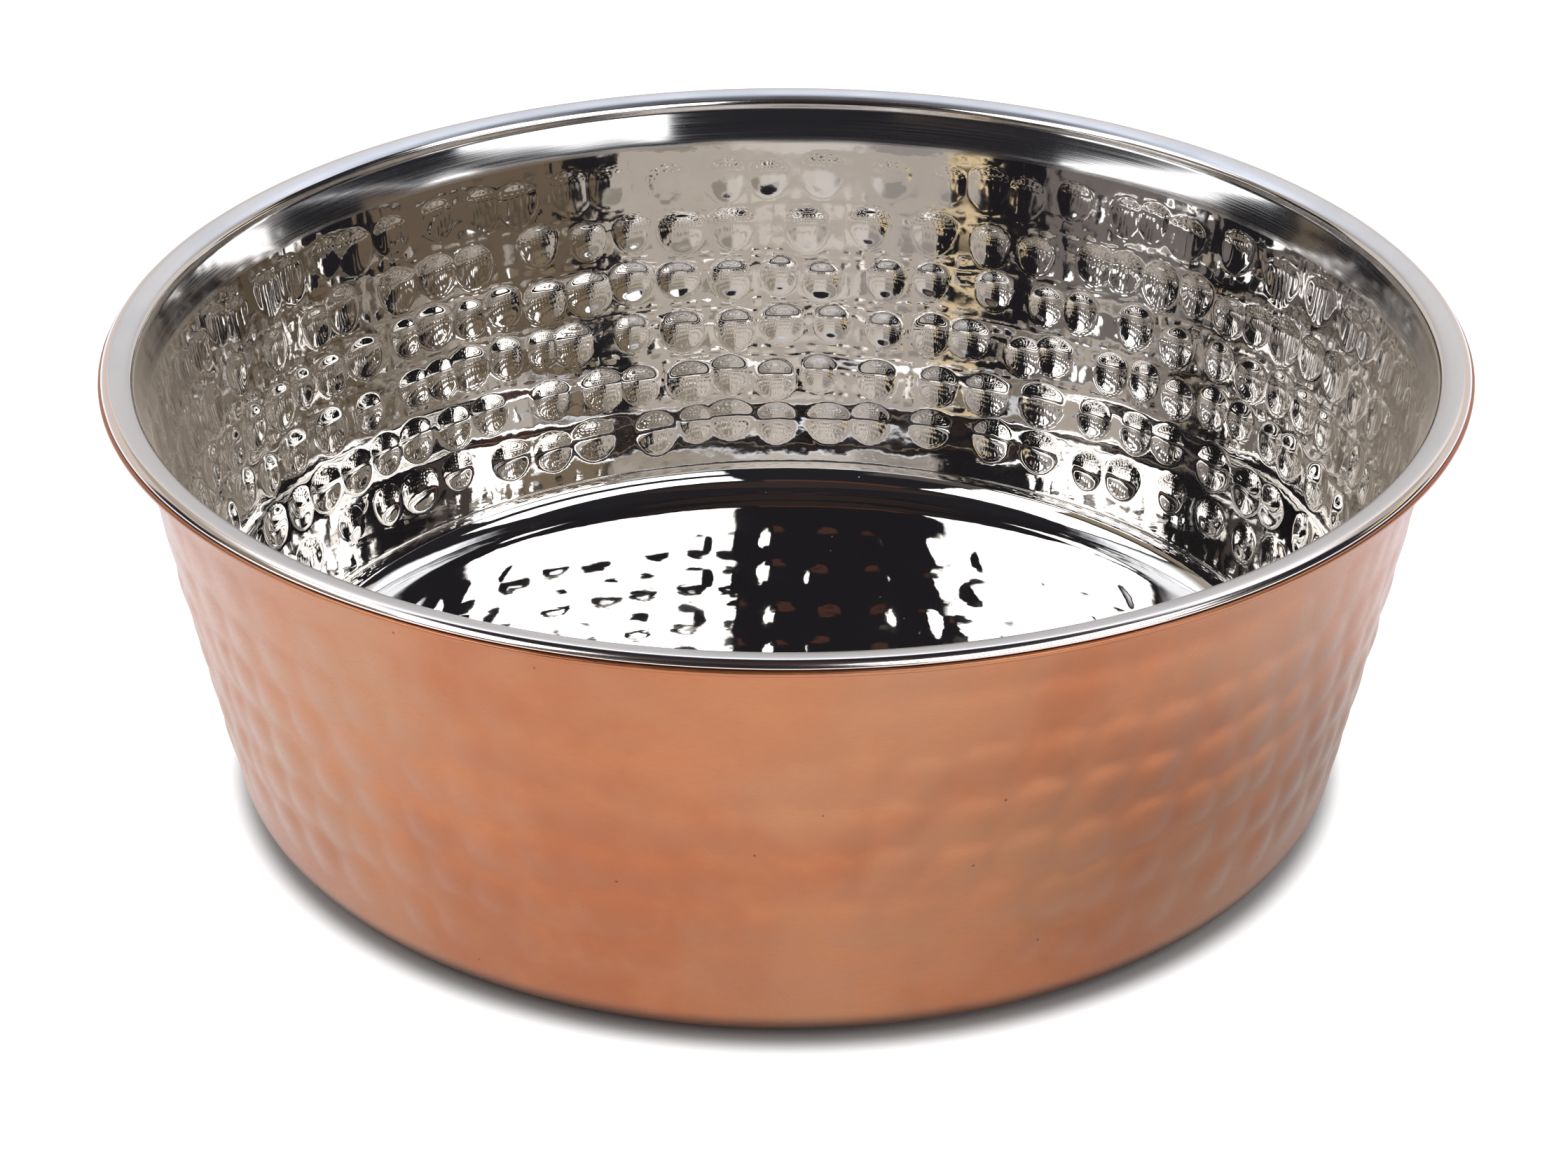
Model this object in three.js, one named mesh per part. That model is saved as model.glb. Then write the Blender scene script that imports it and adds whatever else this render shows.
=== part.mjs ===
// A round serving bowl made of two spun sheets nested in one another: a copper outer shell and a
// stainless steel liner. Both walls lean out by the same angle and both turn out into a narrow
// flange at the top. The flange of the liner lies over the flange of the shell and curls down at its
// outer edge, and the edge of the shell shows under it as a thin copper line round the rim.
//
// Units are millimetres and +Z is up. The origin is the middle of the foot, on the plane the bowl
// stands on, and Z is the axis of revolution. The surfaces here are the mean surfaces of the sheet:
// the hammer marks rise and fall about them.
import * as THREE from "three";

// Driving dimensions
const RIM_DIAMETER = 220; // over the copper edge of the rim
const OVERALL_HEIGHT = 76; // foot to the crown of the rim
const WALL_LEAN = 11.4; // degrees from the vertical
const SHELL_TOP_RADIUS = 105.5; // outer face of the copper wall, just under the flange
const CORNER_RADIUS = 8; // outside radius between the wall and the foot
const SHEET = 0.7; // thickness of both sheets
const GAP = 0.3; // clearance between the two sheets
const FOOT_INNER_RADIUS = 76; // the flat ring the bowl stands on starts here
const FOOT_RECESS = 0.8; // the middle of the base is pressed up by this much
const LINER_FLOOR = 2.5; // height of the inside floor
const LINER_CORNER_RADIUS = 6.3; // inside radius between the wall and the floor
const SEGMENTS = 72;
const CORNER_STEPS = 6;
const WALL_STEPS = 3;

const RIM_RADIUS = RIM_DIAMETER / 2;
const CROWN = 0.86; // the crown of the rim above the rim datum
const RIM_Z = OVERALL_HEIGHT - CROWN; // the rim datum: the flange sections are drawn from this level
const LEAN = THREE.MathUtils.degToRad(WALL_LEAN);
const WALL_TOP_Z = RIM_Z - 3; // the straight part of the wall ends here

// Radius of the outer face of the copper wall at height z.
const wallRadius = (z) =>
  SHELL_TOP_RADIUS - (WALL_TOP_Z - z) * Math.tan(LEAN);

// A face set in from the outer face of the wall by a normal distance.
const setIn = (z, depth) => wallRadius(z) - depth / Math.cos(LEAN);

// The straight wall and the corner below it, for the face set in by depth whose floor is at
// floorZ, from the floor up. The arc is tangent to the floor and to the wall.
function cornerAndWall(depth, floorZ, radius, topZ) {
  const cz = floorZ + radius;
  const tz = cz - radius * Math.sin(LEAN);
  const cr = setIn(tz, depth) - radius * Math.cos(LEAN);
  const points = [];
  for (let i = 0; i <= CORNER_STEPS; i++) {
    const a = -Math.PI / 2 + ((Math.PI / 2 - LEAN) * i) / CORNER_STEPS;
    points.push([cr + radius * Math.cos(a), cz + radius * Math.sin(a)]);
  }
  for (let i = 1; i <= WALL_STEPS; i++) {
    const z = tz + ((topZ - tz) * i) / WALL_STEPS;
    points.push([setIn(z, depth), z]);
  }
  return points;
}

// Points given from the rim: radius as the distance in from the rim edge, height from the datum.
const atRim = (list) => list.map(([inward, z]) => [RIM_RADIUS - inward, RIM_Z + z]);

// Copper shell, from the middle of its underside out and up to the rim, and back down its inner face
const shellOuter = [
  [0, FOOT_RECESS],
  [38, FOOT_RECESS],
  [FOOT_INNER_RADIUS - 2.2, FOOT_RECESS],
  [FOOT_INNER_RADIUS - 1.2, FOOT_RECESS * 0.7],
  [FOOT_INNER_RADIUS, 0],
  ...cornerAndWall(0, 0, CORNER_RADIUS, WALL_TOP_Z),
];
const shellFlange = atRim([
  [4.36, -2.4],
  [4.06, -1.95],
  [3.6, -1.62],
  [3.0, -1.44],
  [0.65, -1.42],
  [0.2, -1.28],
  [0.0, -1.0],
  [0.0, -0.72],
  [0.18, -0.5],
  [0.5, -0.44],
  [0.9, -0.55],
  [3.1, -0.55],
  [4.1, -0.75],
  [4.65, -1.25],
  [4.95, -1.9],
]);
const shellInner = [
  ...cornerAndWall(SHEET, SHEET, CORNER_RADIUS - SHEET, RIM_Z - 2.6).reverse(),
  [FOOT_INNER_RADIUS - 0.3, SHEET],
  [FOOT_INNER_RADIUS - 1.6, SHEET + FOOT_RECESS * 0.7],
  [FOOT_INNER_RADIUS - 2.6, SHEET + FOOT_RECESS],
  [38, SHEET + FOOT_RECESS],
  [0, SHEET + FOOT_RECESS],
];

// Steel liner: the face towards the shell, then the flange, then the face the food touches
const linerOuter = [
  [0, LINER_FLOOR - SHEET],
  [42, LINER_FLOOR - SHEET],
  ...cornerAndWall(
    SHEET + GAP,
    LINER_FLOOR - SHEET,
    LINER_CORNER_RADIUS + SHEET,
    RIM_Z - 1.9,
  ),
];
const linerFlange = atRim([
  [5.12, -1.15],
  [4.9, -0.66],
  [4.5, -0.34],
  [3.9, -0.1],
  [3.1, 0.1],
  [2.4, 0.24],
  [1.9, 0.27],
  [1.45, 0.18],
  [1.15, 0.0],
  [0.95, -0.22],
  [0.65, -0.32],
  [0.46, -0.24],
  [0.52, 0.04],
  [0.75, 0.36],
  [1.1, 0.64],
  [1.5, 0.81],
  [2.0, 0.86],
  [2.5, 0.81],
  [3.2, 0.68],
  [4.0, 0.48],
  [4.7, 0.22],
  [5.2, -0.1],
  [5.62, -0.62],
]);
const linerInner = [
  ...cornerAndWall(
    2 * SHEET + GAP,
    LINER_FLOOR,
    LINER_CORNER_RADIUS,
    RIM_Z - 1.5,
  ).reverse(),
  [42, LINER_FLOOR],
  [0, LINER_FLOOR],
];

// A body of revolution about Z.
function spun(name, points, colour, roughness) {
  const profile = points.map(([r, z]) => new THREE.Vector2(r, z));
  const geometry = new THREE.LatheGeometry(profile, SEGMENTS);
  geometry.rotateX(Math.PI / 2);
  const mesh = new THREE.Mesh(
    geometry,
    new THREE.MeshStandardMaterial({ color: colour, roughness, metalness: 1 }),
  );
  mesh.name = name;
  return mesh;
}

const bowl = new THREE.Group();
bowl.name = "hammered_bowl";
bowl.add(
  spun("copper_shell", [...shellOuter, ...shellFlange, ...shellInner], 0xbd7f5f, 0.42),
  spun("steel_liner", [...linerOuter, ...linerFlange, ...linerInner], 0xc8c6c4, 0.12),
);

export default bowl;
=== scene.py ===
"""A hammered copper bowl with a polished steel liner, on a pale floor in soft studio light.

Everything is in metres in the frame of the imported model: +Z up, origin in the middle of the foot.
The sections below are in millimetres and are scaled on the way into the meshes.
"""

import math
import random

import bpy
import numpy as np
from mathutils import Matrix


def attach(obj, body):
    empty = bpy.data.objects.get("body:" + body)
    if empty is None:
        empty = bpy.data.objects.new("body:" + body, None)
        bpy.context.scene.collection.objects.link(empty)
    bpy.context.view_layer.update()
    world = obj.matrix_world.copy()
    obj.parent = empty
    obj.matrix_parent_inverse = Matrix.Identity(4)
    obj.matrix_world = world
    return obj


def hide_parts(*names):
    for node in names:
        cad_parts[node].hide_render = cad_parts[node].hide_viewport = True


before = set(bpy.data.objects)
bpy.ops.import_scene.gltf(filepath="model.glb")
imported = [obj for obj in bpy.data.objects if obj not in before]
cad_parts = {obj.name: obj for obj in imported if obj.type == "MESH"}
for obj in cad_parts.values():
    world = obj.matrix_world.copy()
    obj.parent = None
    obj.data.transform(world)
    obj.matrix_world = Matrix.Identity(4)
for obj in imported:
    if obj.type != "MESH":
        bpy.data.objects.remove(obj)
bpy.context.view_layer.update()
MM = 0.001

# --------------------------------------------------------------------------------------------
# Section of the bowl, the same as the solids'
# --------------------------------------------------------------------------------------------
RIM_RADIUS = 110.0
CROWN = 0.86
OVERALL_HEIGHT = 76.0
RIM_Z = OVERALL_HEIGHT - CROWN
LEAN = math.radians(11.4)
WALL_TOP_Z = RIM_Z - 3.0
SHELL_TOP_RADIUS = 105.5
SHEET = 0.7
GAP = 0.3
CORNER_RADIUS = 8.0
LINER_FLOOR = 2.5
LINER_CORNER_RADIUS = 6.3
FOOT_INNER_RADIUS = 76.0
FOOT_RECESS = 0.8

AROUND_STEEL = 1280
AROUND_COPPER = 672


def wall_radius(z):
    return SHELL_TOP_RADIUS - (WALL_TOP_Z - z) * math.tan(LEAN)


def set_in(z, depth):
    return wall_radius(z) - depth / math.cos(LEAN)


def corner_and_wall(depth, floor_z, radius, top_z, arc_steps, wall_step):
    """The corner and the straight wall of the face set in by depth, from the floor up."""
    cz = floor_z + radius
    tz = cz - radius * math.sin(LEAN)
    cr = set_in(tz, depth) - radius * math.cos(LEAN)
    pts = []
    for i in range(arc_steps + 1):
        a = -math.pi / 2 + (math.pi / 2 - LEAN) * i / arc_steps
        pts.append((cr + radius * math.cos(a), cz + radius * math.sin(a)))
    n = max(1, round((top_z - tz) / math.cos(LEAN) / wall_step))
    for i in range(1, n + 1):
        z = tz + (top_z - tz) * i / n
        pts.append((set_in(z, depth), z))
    return pts


def at_rim(points):
    return [(RIM_RADIUS - inward, RIM_Z + z) for inward, z in points]


def smooth_line(points, step):
    """A Catmull-Rom curve through the points, resampled to about step."""
    p = np.array(points, float)
    p = np.vstack([2 * p[0] - p[1], p, 2 * p[-1] - p[-2]])
    out = [p[1]]
    for i in range(1, len(p) - 2):
        a, b, c, d = p[i - 1], p[i], p[i + 1], p[i + 2]
        n = max(1, int(math.ceil(np.linalg.norm(c - b) / step)))
        for k in range(1, n + 1):
            t = k / n
            out.append(
                0.5
                * (
                    2 * b
                    + (c - a) * t
                    + (2 * a - 5 * b + 4 * c - d) * t * t
                    + (3 * b - a - 3 * c + d) * t**3
                )
            )
    return [tuple(q) for q in out]


# --------------------------------------------------------------------------------------------
# Hammer marks
# --------------------------------------------------------------------------------------------
ROWS = [62.0, 52.2, 42.8, 33.4, 23.9, 15.0]
PITCH = 9.2
# for each row: how deep the marks are, how far their bottoms lie above their middles, and how deep
# the soft groove is that the whole row lies in
ROW_DEPTH = (0.52, 0.92, 1.36, 1.42, 1.25, 1.15)
ROW_UNEVEN = (0.52, 0.45, 0.28, 0.22, 0.20, 0.20)
ROW_GROOVE = (0.018, 0.030, 0.055, 0.06, 0.06, 0.03)
FLARE_Z = 67.6  # above the marks the wall leans out a little more
rng = random.Random(41)


def row_angles(radius, mean_pitch, low, high):
    """Angles of the marks round one row, at uneven distances."""
    steps = []
    total = 0.0
    length = 2 * math.pi * radius
    while total < length - 0.5 * mean_pitch:
        s = min(high, max(low, rng.gauss(mean_pitch, 0.21 * mean_pitch)))
        steps.append(s)
        total += s
    scale = length / total
    start = rng.random() * 2 * math.pi
    angles, run = [], 0.0
    for s in steps:
        angles.append(start + run * scale / radius)
        run += s
    return angles


class Mark:
    """One hammer mark: where, how wide, how deep, and how far from round."""

    def __init__(self, u, v, size, depth, uneven=0.0):
        self.u, self.v, self.size, self.depth, self.uneven = u, v, size, depth, uneven
        self.turn = rng.random() * math.pi
        self.aspect = rng.uniform(0.88, 1.14)


wall_marks = []
for z, deeper, uneven in zip(ROWS, ROW_DEPTH, ROW_UNEVEN):
    for a in row_angles(set_in(z, 1.7), PITCH, 6.0, 14.5):
        wall_marks.append(
            Mark(
                a,
                z + rng.gauss(0.6, 0.5),
                rng.uniform(3.15, 3.95),
                rng.uniform(0.185, 0.265) * deeper,
                uneven,
            )
        )

floor_marks = []
ring = 82.3
while ring > 4:
    for a in row_angles(ring, 10.2, 7.5, 14.0):
        r = ring + rng.gauss(0, 0.7)
        floor_marks.append(
            Mark(
                r * math.cos(a),
                r * math.sin(a),
                rng.uniform(3.9, 4.7),
                rng.uniform(0.005, 0.016),
            )
        )
    ring -= 9.8
floor_marks.append(Mark(0.5, -0.7, 4.4, 0.01))

POWER = 2.6
EDGE, EDGE_END = 0.80, 1.12


def mark_shape(du, dv, m, widen, deepen):
    """The bottom of an uneven mark lies off its middle, towards the top: steep above, shallow below."""
    c, s = math.cos(m.turn), math.sin(m.turn)
    if m.uneven:
        dv = np.where(dv > 0, dv * (1 + m.uneven), dv / (1 + m.uneven))
        p, q = du / m.aspect, dv
    else:
        p = (du * c + dv * s) / m.aspect
        q = (dv * c - du * s) * m.aspect
    rho = np.sqrt(p * p + q * q) / (m.size * widen)
    # the bottom is round, and the edge turns over to the wall in a short distance
    t = np.clip((rho - EDGE) / (EDGE_END - EDGE), 0, 1)
    edge = (1 - EDGE**2) * (2 * t**3 - 3 * t**2 + 1) - 2 * EDGE * (EDGE_END - EDGE) * (
        t**3 - 2 * t**2 + t
    )
    return m.depth * deepen * np.maximum(np.where(rho < EDGE, 1 - rho**2, edge), 0)


def wall_relief(radii, heights, around, widen=1.0, deepen=1.0, groove=1.0):
    """Depth of the marks at each point of a grid of rings up the wall."""
    radii, heights = np.asarray(radii), np.asarray(heights)
    out = np.zeros((len(heights), around))
    step = 2 * math.pi / around
    up = 1 / math.cos(LEAN)
    for m in wall_marks:
        reach = m.size * widen * 1.75
        rows = np.nonzero(np.abs(heights - m.v) * up < reach)[0]
        if not len(rows):
            continue
        r = radii[rows].mean()
        half = int(reach / (r * step)) + 2
        middle = int(round(m.u / step))
        cols = np.arange(middle - half, middle + half + 1)
        du = (cols * step - m.u)[None, :] * radii[rows][:, None]
        dv = ((heights[rows] - m.v) * up)[:, None] + 0 * du
        out[np.ix_(rows, cols % around)] += (
            mark_shape(du, dv, m, widen, deepen) ** POWER
        )
    out = out ** (1 / POWER)
    angles = np.arange(around) * step
    for i, z in enumerate(ROWS):
        t = random.Random(100 + i)
        sway = sum(
            t.uniform(0.12, 0.3) * np.sin(t.randint(4, 30) * angles + t.random() * 6.283)
            for _ in range(5)
        )
        strength = 1 + 0.5 * sum(
            t.uniform(0.2, 0.5) * np.sin(t.randint(7, 40) * angles + t.random() * 6.283)
            for _ in range(5)
        )
        v = heights[:, None] - z - 0.9 - sway[None, :]
        v = v / np.where(v > 0, 3.4, 6.0)
        out += (
            ROW_GROOVE[i]
            * deepen
            * groove
            * np.clip(strength, 0.2, 2.2)[None, :]
            * np.where(np.abs(v) < 1, 0.5 * (1 + np.cos(np.pi * np.clip(v, -1, 1))), 0)
        )
    return out


def floor_relief(radius, around, widen=1.0, deepen=1.0):
    """Depth of the marks round one ring of the floor."""
    a = np.arange(around) * 2 * math.pi / around
    x, y = radius * np.cos(a), radius * np.sin(a)
    out = np.zeros(around)
    for m in floor_marks:
        if abs(math.hypot(m.u, m.v) - radius) > m.size * widen * 1.3:
            continue
        out += mark_shape(x - m.u, y - m.v, m, widen, deepen) ** POWER
    return out ** (1 / POWER)


def waves(seed, count, low, high):
    """A sum of long waves round and up the wall: (times round, per mm up, phase, amplitude)."""
    r = random.Random(seed)
    return [
        (
            r.randint(low, high),
            r.uniform(-0.22, 0.22),
            r.random() * 2 * math.pi,
            r.uniform(0.4, 1.0),
        )
        for _ in range(count)
    ]


def wave_relief(table, size, heights, around):
    a = np.arange(around) * 2 * math.pi / around
    out = np.zeros((len(heights), around))
    for n, k, phase, amp in table:
        out += amp * np.sin(n * a[None, :] + k * np.asarray(heights)[:, None] + phase)
    return out * size / math.sqrt(len(table))


# --------------------------------------------------------------------------------------------
# Meshes
# --------------------------------------------------------------------------------------------
class Rings:
    """A closed skin of rings round Z, from one pole to the other. A ring has as many points as the
    one before it, or half or twice as many."""

    def __init__(self):
        self.verts = []
        self.faces = []
        self.slots = []
        self.count = 0
        self.last = None  # (first index, points)

    def pole(self, z, slot=0):
        i = self.count
        self.verts.append(np.array([[0.0, 0.0, z]]))
        self.count += 1
        if self.last is not None:
            first, n = self.last
            k = np.arange(n)
            f = np.stack([first + k, np.full(n, i), first + (k + 1) % n], 1)
            self._add(f, slot)
        self.last = (i, 1)

    def ring(self, radii, heights, slot=0):
        n = len(radii)
        a = np.arange(n) * 2 * math.pi / n
        self.verts.append(np.stack([radii * np.cos(a), radii * np.sin(a), heights], 1))
        first = self.count
        self.count += n
        if self.last is not None:
            before, m = self.last
            k = np.arange(n)
            if m == 1:
                self._add(np.stack([np.full(n, before), first + k, first + (k + 1) % n], 1), slot)
            elif m == n:
                self._add(
                    np.stack(
                        [before + k, first + k, first + (k + 1) % n, before + (k + 1) % n], 1
                    ),
                    slot,
                )
            elif n == 2 * m:
                j = np.arange(m)
                b0, b1 = before + j, before + (j + 1) % m
                c0, c1, c2 = first + 2 * j, first + 2 * j + 1, first + (2 * j + 2) % n
                self._add(np.stack([b0, c0, c1], 1), slot)
                self._add(np.stack([b0, c1, b1], 1), slot)
                self._add(np.stack([b1, c1, c2], 1), slot)
            elif m == 2 * n:
                j = np.arange(n)
                c0, c1 = first + j, first + (j + 1) % n
                b0, b1, b2 = before + 2 * j, before + 2 * j + 1, before + (2 * j + 2) % m
                self._add(np.stack([b0, c0, b1], 1), slot)
                self._add(np.stack([b1, c0, c1], 1), slot)
                self._add(np.stack([b1, c1, b2], 1), slot)
            else:
                raise ValueError("ring sizes %d and %d" % (m, n))
        self.last = (first, n)

    def _add(self, faces, slot):
        self.faces.append(faces)
        self.slots.append(np.full(len(faces), slot))

    def mesh(self, name):
        verts = np.vstack(self.verts) * MM
        # the faces look out of the solid whichever way the section was run through
        volume = 0.0
        for f in self.faces:
            for k in range(1, f.shape[1] - 1):
                across = np.cross(verts[f[:, k]], verts[f[:, k + 1]])
                volume += (verts[f[:, 0]] * across).sum()
        if volume < 0:
            self.faces = [f[:, ::-1] for f in self.faces]
        me = bpy.data.meshes.new(name)
        sizes = np.concatenate([np.full(len(f), f.shape[1]) for f in self.faces])
        loops = np.concatenate([f.ravel() for f in self.faces])
        me.vertices.add(len(verts))
        me.vertices.foreach_set("co", verts.ravel())
        me.loops.add(len(loops))
        me.loops.foreach_set("vertex_index", loops.astype(np.int32))
        me.polygons.add(len(sizes))
        starts = np.concatenate([[0], np.cumsum(sizes)[:-1]])
        me.polygons.foreach_set("loop_start", starts.astype(np.int32))
        me.polygons.foreach_set("material_index", np.concatenate(self.slots).astype(np.int32))
        me.polygons.foreach_set("use_smooth", np.ones(len(sizes), bool))
        me.update(calc_edges=True)
        me.validate()
        ob = bpy.data.objects.new(name, me)
        bpy.context.collection.objects.link(ob)
        return ob


def normals(points):
    """Unit normals of a section run, to the left of its direction of travel."""
    p = np.array(points, float)
    t = np.gradient(p, axis=0)
    t /= np.linalg.norm(t, axis=1)[:, None]
    return np.stack([-t[:, 1], t[:, 0]], 1)


def fade(x, low, high):
    t = np.clip((x - low) / (high - low), 0, 1)
    return t * t * (3 - 2 * t)


MIRROR, BAND, RIM_TOP, ROLL = 0, 1, 2, 3


def flare(z):
    """How far the inner face stands out from the straight wall above the marks."""
    x = max(0.0, z - FLARE_Z)
    bend = min(x, 0.8)
    return 0.037 * (bend * bend / 1.6 + max(0.0, x - 0.8)) + 0.0042 * x * x


def make_liner():
    r = Rings()
    n = AROUND_STEEL
    # the floor, from the middle out
    r.pole(LINER_FLOOR - float(floor_relief(0.0, 1)[0]), MIRROR)
    arc = corner_and_wall(2 * SHEET + GAP, LINER_FLOOR, LINER_CORNER_RADIUS, RIM_Z - 1.5, 18, 0.5)
    floor_edge = arc[0][0]
    radius = 0.8
    while radius < floor_edge - 0.3:
        m = n
        for limit, share in ((46, 2), (23, 4), (11.5, 8), (5, 16)):
            if radius < limit:
                m = n // share
        r.ring(np.full(m, radius), LINER_FLOOR - floor_relief(radius, m), MIRROR)
        radius += 0.62 if radius > 11 else 0.8
    # the corner: floor marks die out on it
    steps = 18
    run = np.array(arc)
    nrm = normals(arc)  # travel is out and up, so left is inwards and up: the marks go the other way
    deep = wall_relief(run[:, 0], run[:, 1], n)
    wobble = wave_relief(waves(7, 26, 5, 46), 0.03, run[:, 1], n)
    for i, (rad, z) in enumerate(arc):
        h = deep[i] + wobble[i] * fade(z, 8, 14) * (1 - fade(z, 64, 72))
        h = h + flare(z)
        if i <= steps:
            h = h + floor_relief(rad, n) * (1 - fade(i / steps, 0.1, 0.5))
        slot = BAND if z > 67.5 else MIRROR
        r.ring(rad - h * nrm[i, 0], z - h * nrm[i, 1], slot)
    # the flange
    top = (arc[-1][0] + flare(arc[-1][1]), arc[-1][1])
    flange = smooth_line(
        [top]
        + at_rim(
            [
                (5.46, -0.62),
                (5.1, -0.1),
                (4.65, 0.22),
                (4.0, 0.48),
                (3.2, 0.68),
                (2.5, 0.81),
                (2.0, 0.86),
                (1.5, 0.81),
                (1.1, 0.64),
                (0.75, 0.36),
                (0.52, 0.04),
                (0.46, -0.24),
                (0.65, -0.32),
            ]
        ),
        0.16,
    )
    wob = wave_relief(waves(19, 30, 3, 60), 0.012, [0.0], n)[0]
    for rad, z in flange[1:]:
        inward = RIM_RADIUS - rad
        if inward > 5.05:
            slot = BAND
        elif inward > 1.62 and z > RIM_Z:
            slot = RIM_TOP
        else:
            slot = ROLL
        r.ring(np.full(n, rad) + wob * fade(-inward, -4, -1.4), np.full(n, z) + 0.5 * wob, slot)
    # the hidden face, coarser and coarser
    back = at_rim(
        [
            (0.95, -0.22),
            (1.15, 0.0),
            (1.45, 0.18),
            (1.9, 0.27),
            (2.4, 0.24),
            (3.1, 0.1),
            (3.9, -0.1),
            (4.5, -0.34),
            (4.9, -0.66),
            (5.12, -1.15),
        ]
    )
    m = n
    for i, (rad, z) in enumerate(back):
        if i in (5, 7, 9):
            m //= 2
        r.ring(np.full(m, rad), np.full(m, z), ROLL)
    under = corner_and_wall(
        SHEET + GAP, LINER_FLOOR - SHEET, LINER_CORNER_RADIUS + SHEET, RIM_Z - 1.9, 6, 8.0
    )
    for rad, z in reversed(under):
        r.ring(np.full(m, rad), np.full(m, z), MIRROR)
    for rad in (60.0, 30.0):
        r.ring(np.full(m, rad), np.full(m, LINER_FLOOR - SHEET), MIRROR)
    r.pole(LINER_FLOOR - SHEET, MIRROR)
    return r.mesh("steel_liner_hammered")


def make_shell():
    r = Rings()
    n = AROUND_COPPER
    # the underside, from the middle out
    r.pole(FOOT_RECESS, 0)
    radius = 2.0
    while radius < FOOT_INNER_RADIUS - 2.4:
        m = n
        for limit, share in ((46, 2), (23, 4), (11.5, 8)):
            if radius < limit:
                m = n // share
        bump = floor_relief(radius, m, 1.15, 0.45) * (1 - fade(radius, 66, 73))
        r.ring(np.full(m, radius), FOOT_RECESS - bump, 0)
        radius += 1.3
    for rad, z in smooth_line(
        [
            (FOOT_INNER_RADIUS - 2.2, FOOT_RECESS),
            (FOOT_INNER_RADIUS - 1.2, FOOT_RECESS * 0.7),
            (FOOT_INNER_RADIUS, 0.0),
        ],
        0.35,
    ):
        r.ring(np.full(n, rad), np.full(n, z), 0)
    for rad in (78.0, 80.5, 83.0):
        r.ring(np.full(n, rad), np.zeros(n), 0)
    arc = corner_and_wall(0.0, 0.0, CORNER_RADIUS, WALL_TOP_Z, 16, 0.9)
    run = np.array(arc)
    nrm = normals(arc)
    deep = wall_relief(run[:, 0], run[:, 1], n, 1.32, 1.45, 0.3)
    wobble = wave_relief(waves(23, 30, 4, 40), 0.05, run[:, 1], n)
    for i, (rad, z) in enumerate(arc):
        h = deep[i] - 0.18 * fade(z, 6, 14) * (1 - fade(z, 66, 71))
        h = h + wobble[i] * fade(z, 6, 14) * (1 - fade(z, 66, 72))
        r.ring(rad - h * nrm[i, 0], np.maximum(z - h * nrm[i, 1], 0.0), 0)
    flange = smooth_line(
        [arc[-1]]
        + at_rim(
            [
                (4.36, -2.4),
                (4.06, -1.95),
                (3.6, -1.62),
                (3.0, -1.44),
                (0.65, -1.42),
                (0.2, -1.28),
                (0.0, -1.0),
                (0.0, -0.72),
                (0.18, -0.5),
                (0.5, -0.44),
            ]
        ),
        0.22,
    )
    wob = wave_relief(waves(31, 40, 6, 90), 0.02, [0.0], n)[0]
    for rad, z in flange[1:]:
        inward = RIM_RADIUS - rad
        edge = fade(-inward, -0.9, -0.3)
        r.ring(np.minimum(np.full(n, rad) + wob * edge * 0.5, RIM_RADIUS), np.full(n, z) + wob * edge, 0)
    inner = at_rim([(0.9, -0.55), (3.1, -0.55), (4.1, -0.75), (4.65, -1.25), (4.95, -1.9)])
    m = n
    for i, (rad, z) in enumerate(inner):
        if i in (1, 3):
            m //= 2
        r.ring(np.full(m, rad), np.full(m, z), 0)
    for rad, z in reversed(
        corner_and_wall(SHEET, SHEET, CORNER_RADIUS - SHEET, RIM_Z - 2.6, 6, 8.0)
    ):
        r.ring(np.full(m, rad), np.full(m, z), 0)
    for rad, z in (
        (FOOT_INNER_RADIUS - 0.3, SHEET),
        (FOOT_INNER_RADIUS - 1.6, SHEET + FOOT_RECESS * 0.7),
        (FOOT_INNER_RADIUS - 2.6, SHEET + FOOT_RECESS),
        (38.0, SHEET + FOOT_RECESS),
    ):
        r.ring(np.full(m, rad), np.full(m, z), 0)
    r.pole(SHEET + FOOT_RECESS, 0)
    return r.mesh("copper_shell_hammered")


# --------------------------------------------------------------------------------------------
# Materials
# --------------------------------------------------------------------------------------------
def new_material(name):
    mat = bpy.data.materials.new(name)
    mat.use_nodes = True
    nt = mat.node_tree
    bsdf = nt.nodes["Principled BSDF"]
    return mat, nt, bsdf


def node(nt, kind, **values):
    nd = nt.nodes.new(kind)
    for k, v in values.items():
        setattr(nd, k, v)
    return nd


def math_node(nt, op, a, b=None, clamp=False):
    nd = node(nt, "ShaderNodeMath", operation=op, use_clamp=clamp)
    for i, x in enumerate((a, b)):
        if x is None:
            continue
        if isinstance(x, (int, float)):
            nd.inputs[i].default_value = x
        else:
            nt.links.new(x, nd.inputs[i])
    return nd.outputs[0]


def map_range(nt, value, a, b, c, d, smooth=True):
    nd = node(nt, "ShaderNodeMapRange", interpolation_type="SMOOTHSTEP" if smooth else "LINEAR")
    nt.links.new(value, nd.inputs["Value"])
    for k, v in (("From Min", a), ("From Max", b), ("To Min", c), ("To Max", d)):
        nd.inputs[k].default_value = v
    return nd.outputs["Result"]


def mix_colour(nt, factor, a, b, blend="MIX"):
    nd = node(nt, "ShaderNodeMix", data_type="RGBA", blend_type=blend)
    for key, x in ((0, factor), (6, a), (7, b)):
        if isinstance(x, (int, float)):
            nd.inputs[key].default_value = x
        elif isinstance(x, tuple):
            nd.inputs[key].default_value = x if len(x) == 4 else (*x, 1)
        else:
            nt.links.new(x, nd.inputs[key])
    return nd.outputs[2]


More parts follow.
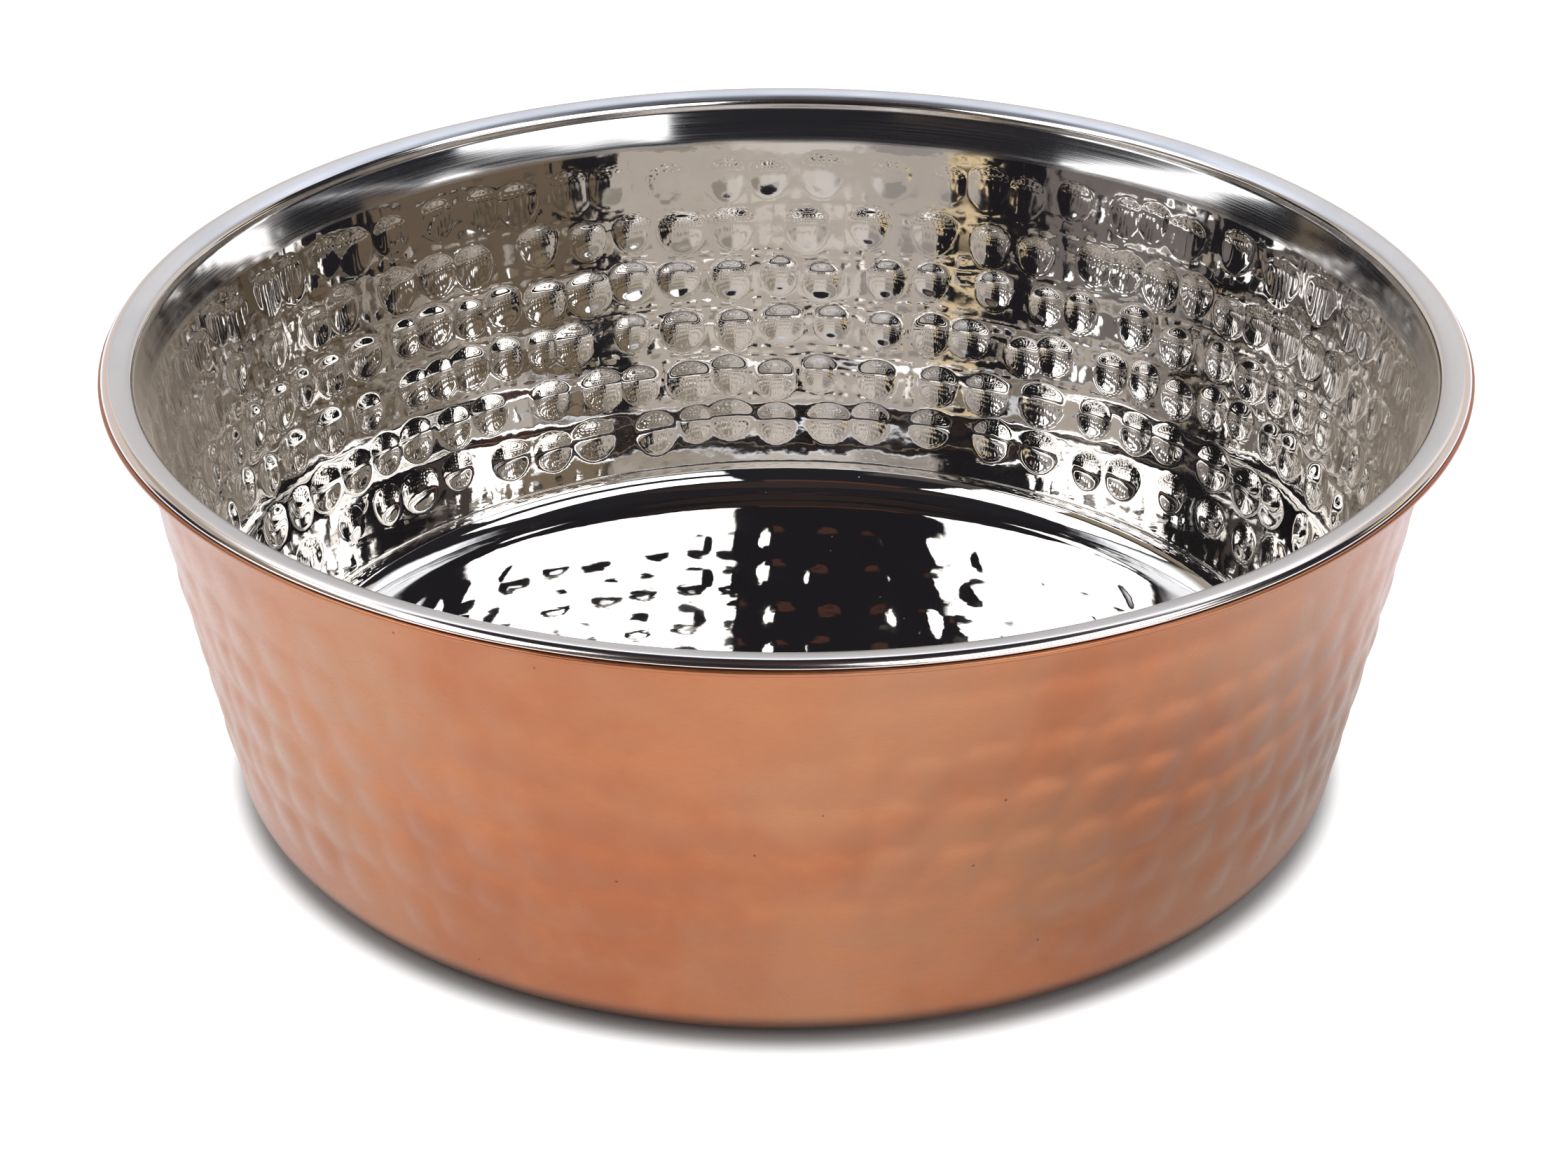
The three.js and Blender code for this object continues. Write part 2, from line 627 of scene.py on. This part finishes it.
def noise(nt, vector, scale, detail=3.0, rough=0.5, distortion=0.0):
    nd = node(nt, "ShaderNodeTexNoise")
    nt.links.new(vector, nd.inputs["Vector"])
    nd.inputs["Scale"].default_value = scale
    nd.inputs["Detail"].default_value = detail
    nd.inputs["Roughness"].default_value = rough
    nd.inputs["Distortion"].default_value = distortion
    return nd.outputs["Fac"]


def object_vector(nt):
    return node(nt, "ShaderNodeTexCoord").outputs["Object"]


def turned_vector(nt, vec, round_scale, up_scale):
    """Coordinates that stretch a pattern round the bowl: slow along the turn, fast across it."""
    sep = node(nt, "ShaderNodeSeparateXYZ")
    nt.links.new(vec, sep.inputs[0])
    x, y, z = sep.outputs
    rad = math_node(nt, "SQRT", math_node(nt, "ADD", math_node(nt, "MULTIPLY", x, x), math_node(nt, "MULTIPLY", y, y)))
    safe = math_node(nt, "MAXIMUM", rad, 0.0005)
    comb = node(nt, "ShaderNodeCombineXYZ")
    nt.links.new(math_node(nt, "MULTIPLY", math_node(nt, "DIVIDE", x, safe), round_scale), comb.inputs[0])
    nt.links.new(math_node(nt, "MULTIPLY", math_node(nt, "DIVIDE", y, safe), round_scale), comb.inputs[1])
    across = math_node(nt, "ADD", z, rad)
    nt.links.new(math_node(nt, "MULTIPLY", across, up_scale), comb.inputs[2])
    return comb.outputs[0]


def specks(nt, vec, cell_mm, share, size):
    """A mask of tiny spots: one in a few cells has one."""
    vor = node(nt, "ShaderNodeTexVoronoi", feature="F1")
    nt.links.new(vec, vor.inputs["Vector"])
    vor.inputs["Scale"].default_value = 1000.0 / cell_mm
    near = math_node(nt, "LESS_THAN", vor.outputs["Distance"], size)
    sep = node(nt, "ShaderNodeSeparateColor")
    nt.links.new(vor.outputs["Color"], sep.inputs[0])
    picked = math_node(nt, "LESS_THAN", sep.outputs[0], share)
    return math_node(nt, "MULTIPLY", near, picked)


def steel_mirror():
    mat, nt, b = new_material("polished_steel")
    vec = object_vector(nt)
    cloud = noise(nt, vec, 28.0, 3.0)
    tone = mix_colour(nt, map_range(nt, cloud, 0.35, 0.65, 0, 1), (0.71, 0.69, 0.67), (0.75, 0.735, 0.715))
    dust = specks(nt, vec, 4.2, 0.3, 0.028)
    tone = mix_colour(nt, math_node(nt, "MULTIPLY", dust, 0.75), tone, (0.92, 0.91, 0.9))
    nt.links.new(tone, b.inputs["Base Color"])
    haze = noise(nt, vec, 90.0, 4.0, 0.6)
    ripple = noise(nt, vec, 290.0, 1.0, 0.4)
    fine = noise(nt, vec, 950.0, 1.0, 0.4)
    bump = node(nt, "ShaderNodeBump")
    bump.inputs["Strength"].default_value = 1.0
    bump.inputs["Distance"].default_value = 0.000018
    nt.links.new(
        math_node(nt, "ADD", ripple, math_node(nt, "MULTIPLY", fine, 0.12)),
        bump.inputs["Height"],
    )
    nt.links.new(bump.outputs[0], b.inputs["Normal"])
    rough = map_range(nt, haze, 0.35, 0.75, 0.018, 0.045)
    rough = math_node(nt, "ADD", rough, math_node(nt, "MULTIPLY", dust, 0.5))
    nt.links.new(rough, b.inputs["Roughness"])
    # light that has gone back and forth between the walls many times is not followed further: what
    # is left of it is about even, so the steel is given a faint, even painted glow on rays that have bounced more than
    # three times
    path = node(nt, "ShaderNodeLightPath")
    painted_late_glow = math_node(nt, "GREATER_THAN", path.outputs["Glossy Depth"], 3.5)
    # painted glow: the steel emits a little warm light, but only on rays past the third glossy bounce
    nt.links.new(math_node(nt, "MULTIPLY", painted_late_glow, 0.3), b.inputs["Emission Strength"])
    b.inputs["Emission Color"].default_value = (1.0, 0.9, 0.79, 1)
    b.inputs["Metallic"].default_value = 1.0
    return mat


def steel_band():
    mat, nt, b = new_material("turned_steel")
    vec = object_vector(nt)
    lines = noise(nt, turned_vector(nt, vec, 2.2, 5200.0), 1.0, 2.0, 0.6)
    tone = mix_colour(nt, lines, (0.70, 0.695, 0.695), (0.79, 0.785, 0.785))
    nt.links.new(tone, b.inputs["Base Color"])
    nt.links.new(map_range(nt, lines, 0.3, 0.7, 0.06, 0.13), b.inputs["Roughness"])
    bump = node(nt, "ShaderNodeBump")
    bump.inputs["Strength"].default_value = 0.25
    bump.inputs["Distance"].default_value = 0.000004
    nt.links.new(lines, bump.inputs["Height"])
    nt.links.new(bump.outputs[0], b.inputs["Normal"])
    b.inputs["Metallic"].default_value = 1.0
    return mat


def steel_satin():
    mat, nt, b = new_material("satin_steel")
    vec = object_vector(nt)
    lines = noise(nt, turned_vector(nt, vec, 6.0, 9000.0), 1.0, 3.0, 0.6)
    cloud = noise(nt, vec, 60.0, 3.0)
    tone = mix_colour(nt, lines, (0.60, 0.625, 0.675), (0.67, 0.69, 0.74))
    tone = mix_colour(nt, map_range(nt, cloud, 0.4, 0.7, 0.0, 0.25), tone, (0.50, 0.53, 0.59))
    nt.links.new(tone, b.inputs["Base Color"])
    nt.links.new(map_range(nt, cloud, 0.3, 0.7, 0.26, 0.34), b.inputs["Roughness"])
    bump = node(nt, "ShaderNodeBump")
    bump.inputs["Strength"].default_value = 0.5
    bump.inputs["Distance"].default_value = 0.00001
    nt.links.new(lines, bump.inputs["Height"])
    nt.links.new(bump.outputs[0], b.inputs["Normal"])
    b.inputs["Metallic"].default_value = 1.0
    return mat


def steel_roll():
    mat, nt, b = new_material("rolled_steel_edge")
    vec = object_vector(nt)
    lines = noise(nt, turned_vector(nt, vec, 3.0, 4200.0), 1.0, 2.0, 0.5)
    tone = mix_colour(nt, lines, (0.78, 0.72, 0.70), (0.86, 0.81, 0.79))
    nt.links.new(tone, b.inputs["Base Color"])
    nt.links.new(map_range(nt, lines, 0.3, 0.7, 0.10, 0.16), b.inputs["Roughness"])
    b.inputs["Metallic"].default_value = 1.0
    return mat


def copper_satin():
    mat, nt, b = new_material("satin_copper")
    vec = object_vector(nt)
    big = noise(nt, vec, 22.0, 3.0, 0.55, 0.4)
    mid = noise(nt, vec, 62.0, 4.0, 0.6)
    grain = noise(nt, turned_vector(nt, vec, 60.0, 2600.0), 1.0, 3.0, 0.65)
    tone = mix_colour(nt, map_range(nt, big, 0.36, 0.64, 0, 1), (0.42, 0.132, 0.050), (0.445, 0.192, 0.094))
    tone = mix_colour(nt, map_range(nt, mid, 0.42, 0.7, 0, 0.6), tone, (0.52, 0.195, 0.082))
    tone = mix_colour(nt, map_range(nt, grain, 0.35, 0.75, 0.0, 0.16), tone, (0.35, 0.130, 0.062))
    dots = specks(nt, vec, 5.2, 0.3, 0.045)
    tone = mix_colour(nt, math_node(nt, "MULTIPLY", dots, 0.8), tone, (0.13, 0.05, 0.03))
    nt.links.new(tone, b.inputs["Base Color"])
    rough = map_range(nt, mid, 0.3, 0.7, 0.27, 0.37)
    rough = math_node(nt, "ADD", rough, map_range(nt, grain, 0.3, 0.7, -0.03, 0.04))
    nt.links.new(rough, b.inputs["Roughness"])
    bump = node(nt, "ShaderNodeBump")
    bump.inputs["Strength"].default_value = 0.5
    bump.inputs["Distance"].default_value = 0.00002
    nt.links.new(grain, bump.inputs["Height"])
    nt.links.new(bump.outputs[0], b.inputs["Normal"])
    b.inputs["Metallic"].default_value = 1.0
    b.inputs["Coat Weight"].default_value = 0.6
    b.inputs["Coat Roughness"].default_value = 0.28
    b.inputs["Coat IOR"].default_value = 1.45
    return mat


# --------------------------------------------------------------------------------------------
# The bowl
# --------------------------------------------------------------------------------------------
liner = make_liner()
for m in (steel_mirror(), steel_band(), steel_satin(), steel_roll()):
    liner.data.materials.append(m)
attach(liner, "root")
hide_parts("steel_liner")

shell = make_shell()
shell.data.materials.append(copper_satin())
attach(shell, "root")
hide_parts("copper_shell")

# --------------------------------------------------------------------------------------------
# Floor, light and camera
# --------------------------------------------------------------------------------------------
floor_mesh = bpy.data.meshes.new("floor")
half = 3.0
floor_mesh.from_pydata(
    [(-half, -half, 0), (half, -half, 0), (half, half, 0), (-half, half, 0)], [], [(0, 1, 2, 3)]
)
floor = bpy.data.objects.new("floor", floor_mesh)
floor.location.z = -0.0001
bpy.context.collection.objects.link(floor)
mat, nt, b = new_material("pale_floor")
b.inputs["Base Color"].default_value = (0.72, 0.72, 0.72, 1)
b.inputs["Roughness"].default_value = 0.8
b.inputs["Specular IOR Level"].default_value = 0.2
b.inputs["Emission Color"].default_value = (1, 1, 1, 1)
b.inputs["Emission Strength"].default_value = 0.95
# the floor glows evenly white; painted shade, a painted reflection tint and a painted contact shadow are laid into its
# glow and colour below
vec = object_vector(nt)
sep = node(nt, "ShaderNodeSeparateXYZ")
nt.links.new(vec, sep.inputs[0])
fx, fy, _ = sep.outputs
out_from = math_node(
    nt,
    "SQRT",
    math_node(
        nt, "ADD", math_node(nt, "MULTIPLY", fx, fx), math_node(nt, "MULTIPLY", fy, fy)
    ),
)
# painted shade seen only in reflections: the floor looks darker close to the bowl on its right front side
near = map_range(nt, out_from, 0.105, 0.19, 0.52, 1.1)
painted_shade_side = map_range(nt, math_node(nt, "SUBTRACT", fx, math_node(nt, "MULTIPLY", fy, 0.25)), 0.025, 0.125, 0.0, 1.0)
painted_shade_side = math_node(nt, "MULTIPLY", painted_shade_side, map_range(nt, fy, -0.03, 0.05, 1.0, 0.0))
dim = math_node(nt, "ADD", math_node(nt, "MULTIPLY", painted_shade_side, math_node(nt, "SUBTRACT", near, 1.0)), 1.0)
path = node(nt, "ShaderNodeLightPath")
# painted shade in reflections: darker all round close to the bowl
dim = math_node(nt, "MULTIPLY", dim, map_range(nt, out_from, 0.098, 0.15, 0.78, 0.97))
# only glossy rays see the painted shade; camera rays see the floor at full brightness
shade = math_node(nt, "MAXIMUM", dim, math_node(nt, "SUBTRACT", 1.0, path.outputs["Is Glossy Ray"]))
# painted reflection tint: in reflections the floor looks bluer off to the front sides and behind the bowl
painted_tint_aside = map_range(nt, math_node(nt, "ABSOLUTE", fx), 0.12, 0.20, 0.0, 1.0)
painted_tint_aside = math_node(nt, "MULTIPLY", painted_tint_aside, map_range(nt, fy, -0.12, -0.04, 0.0, 1.0))
back = math_node(nt, "MAXIMUM", painted_tint_aside, map_range(nt, fy, 0.0, 0.12, 0.0, 1.0))
back = math_node(nt, "MULTIPLY", back, path.outputs["Is Glossy Ray"])
painted_reflection_tint = mix_colour(nt, back, (1.0, 1.0, 1.0), (0.76, 0.80, 0.98))
painted_floor_glow = mix_colour(nt, shade, (0.0, 0.0, 0.0), painted_reflection_tint)
# painted contact shadow: the floor's glow fades to nothing in a narrow ring round the foot
under = map_range(nt, out_from, 0.0893, 0.0955, 0.0, 1.0)
painted_floor_glow = mix_colour(nt, under, (0.0, 0.0, 0.0), painted_floor_glow)
nt.links.new(painted_floor_glow, b.inputs["Emission Color"])
# the floor's own colour carries the same painted shade in reflections
nt.links.new(mix_colour(nt, shade, (0.0, 0.0, 0.0), (0.45, 0.48, 0.49)), b.inputs["Base Color"])
floor_mesh.materials.append(mat)

world = bpy.data.worlds.new("studio")
bpy.context.scene.world = world
world.use_nodes = True
wt = world.node_tree
wt.nodes.clear()
out = wt.nodes.new("ShaderNodeOutputWorld")
coord = wt.nodes.new("ShaderNodeTexCoord")
sep = wt.nodes.new("ShaderNodeSeparateXYZ")
wt.links.new(coord.outputs["Generated"], sep.inputs[0])
wx, wy, wz = sep.outputs
# azimuth from -Y, positive towards +X, and elevation, both in degrees
azimuth = math_node(wt, "MULTIPLY", math_node(wt, "ARCTAN2", wx, math_node(wt, "MULTIPLY", wy, -1.0)), 180 / math.pi)
elevation = math_node(wt, "MULTIPLY", math_node(wt, "ARCSINE", wz), 180 / math.pi)


def window(value, low, high, soft):
    a = map_range(wt, value, low - soft, low + soft, 0, 1)
    c = map_range(wt, value, high - soft, high + soft, 1, 0)
    return math_node(wt, "MULTIPLY", a, c)


def area(colour_in, az, el, rgb, soft=1.5):
    """A patch of the studio, from and to in azimuth and in elevation, laid over what is there."""
    w = math_node(
        wt,
        "MULTIPLY",
        window(azimuth, az[0], az[1], soft),
        window(elevation, el[0], el[1], soft),
    )
    return mix_colour(wt, w, colour_in, rgb)


# the dim room first, then each part of the studio over it
room = (0.022, 0.021, 0.025)
colour = mix_colour(wt, 0.0, room, room)
for az, el, rgb, soft in (
    # the backdrop, brighter in its middle and higher up, and the light above it
    ((121, 200), (-12, 25), (0.78, 0.715, 0.66), 2.0),
    ((-200, -119), (-12, 25), (0.76, 0.69, 0.63), 2.0),
    ((118, 200), (24, 41), (1.05, 0.98, 0.92), 2.0),
    ((-200, -108), (24, 41), (1.0, 0.92, 0.84), 2.0),
    ((119, 150), (25, 41), (0.50, 0.465, 0.44), 4.0),
    ((-160, -106), (26, 41), (0.46, 0.405, 0.34), 4.0),
    ((112, 200), (42, 58), (1.55, 1.6, 1.72), 4.0),
    ((-200, -108), (42, 58), (1.55, 1.6, 1.72), 4.0),
    # a warm reflector beside the backdrop
    ((106, 123), (15, 22), (1.2, 0.97, 0.62), 2.0),
    # right of the bowl
    ((22, 62), (6.2, 13), (2.8, 2.8, 2.85), 1.4),
    ((16, 84), (14, 22), (0.27, 0.245, 0.24), 1.5),
    ((14, 74), (24, 35), (3.4, 3.4, 3.4), 1.0),
    ((14, 88), (43, 59), (3.4, 3.4, 3.4), 1.0),
    # left of the bowl
    ((-98, -52), (-5, 3.6), (2.6, 2.6, 2.65), 0.8),
    ((-100, -20), (11, 22), (0.23, 0.18, 0.13), 1.5),
    ((-104, -64), (23, 32), (0.34, 0.27, 0.19), 2.0),
    ((-46, -19), (22, 32), (0.11, 0.095, 0.09), 2.0),
    ((-102, -42), (36, 59), (3.4, 3.4, 3.4), 1.0),
    ((-66, -45), (24, 37), (3.4, 3.4, 3.4), 1.0),
    # something reddish high up in front, and the dull ceiling above it
    ((-40, 8), (60, 66), (0.11, 0.05, 0.04), 1.5),
    ((-70, 60), (66, 91), (0.048, 0.035, 0.033), 2.0),
):
    colour = area(colour, az, el, rgb, soft)
studio = wt.nodes.new("ShaderNodeBackground")
wt.links.new(colour, studio.inputs["Color"])
plain = wt.nodes.new("ShaderNodeBackground")
plain.inputs["Color"].default_value = (1, 1, 1, 1)
path = wt.nodes.new("ShaderNodeLightPath")
mix = wt.nodes.new("ShaderNodeMixShader")
wt.links.new(path.outputs["Is Camera Ray"], mix.inputs[0])
wt.links.new(studio.outputs[0], mix.inputs[1])
wt.links.new(plain.outputs[0], mix.inputs[2])
wt.links.new(mix.outputs[0], out.inputs["Surface"])

bpy.context.scene.view_settings.view_transform = "Standard"

# The camera stands 0.648 m from the middle of the rim, 24.6 degrees above it, and looks down 28 degrees.
camera_data = bpy.data.cameras.new("camera")
camera_data.sensor_width = 36.0
camera_data.lens = 92.035
camera_data.shift_x = -3.2 / 2238
camera_data.clip_start = 0.01
camera = bpy.data.objects.new("camera", camera_data)
bpy.context.collection.objects.link(camera)
distance, rise = 0.6483, math.radians(24.596)
camera.location = (0, -distance * math.cos(rise), RIM_Z * MM + distance * math.sin(rise))
camera.rotation_euler = (math.radians(90 - 28.058), 0, 0)
bpy.context.scene.camera = camera
